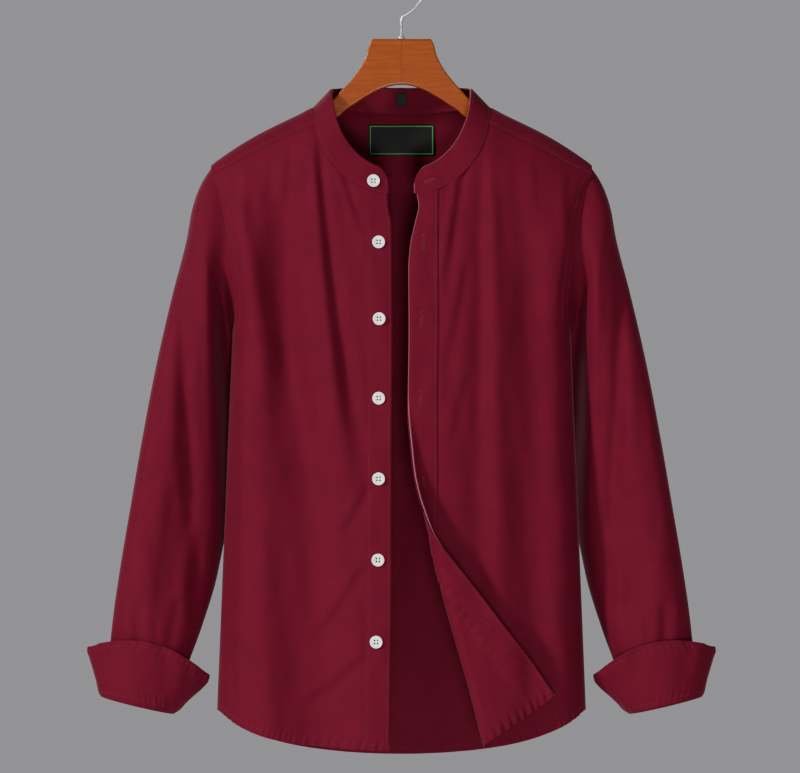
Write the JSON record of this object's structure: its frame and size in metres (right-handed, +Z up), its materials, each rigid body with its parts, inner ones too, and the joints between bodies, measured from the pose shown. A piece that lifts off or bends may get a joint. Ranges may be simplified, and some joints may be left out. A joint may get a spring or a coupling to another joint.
{
  "type": "mandarin collar shirt on a hanger",
  "caption": "Long-sleeved cotton shirt with a mandarin collar and turned-back cuffs, hanging unbuttoned on a wooden hanger.",
  "frame": {"origin": "inside of the top of the hanger's hook, where it rests on a rail", "axes": "+Z up, the shirt's front faces -Y, its buttons are on the -X side"},
  "size_m": [0.7284, 0.1577, 0.9214],
  "materials": {
    "shirt_cotton": "matte woven cotton, dyed dark red",
    "button_resin": "polished resin",
    "label_satin": "black woven satin",
    "varnished_wood": "clear varnish",
    "plated_steel": "bright plated wire"
  },
  "bodies": {
    "root": {"front_button_side": "shirt_cotton", "front_buttonhole_side": "shirt_cotton", "button_band": "shirt_cotton", "buttonhole_band": "shirt_cotton", "back": "shirt_cotton", "yoke": "shirt_cotton", "collar": "shirt_cotton", "sleeve_button_side": "shirt_cotton", "sleeve_buttonhole_side": "shirt_cotton", "cuff_button_side": "shirt_cotton", "cuff_buttonhole_side": "shirt_cotton", "button_1": "button_resin", "button_2": "button_resin", "button_3": "button_resin", "button_4": "button_resin", "button_5": "button_resin", "button_6": "button_resin", "button_7": "button_resin", "neck_label": "label_satin", "size_label": "label_satin", "hanger_arms": "varnished_wood", "hanger_hook": "plated_steel", "hook_ferrule": "plated_steel"}
  },
  "joints": []
}
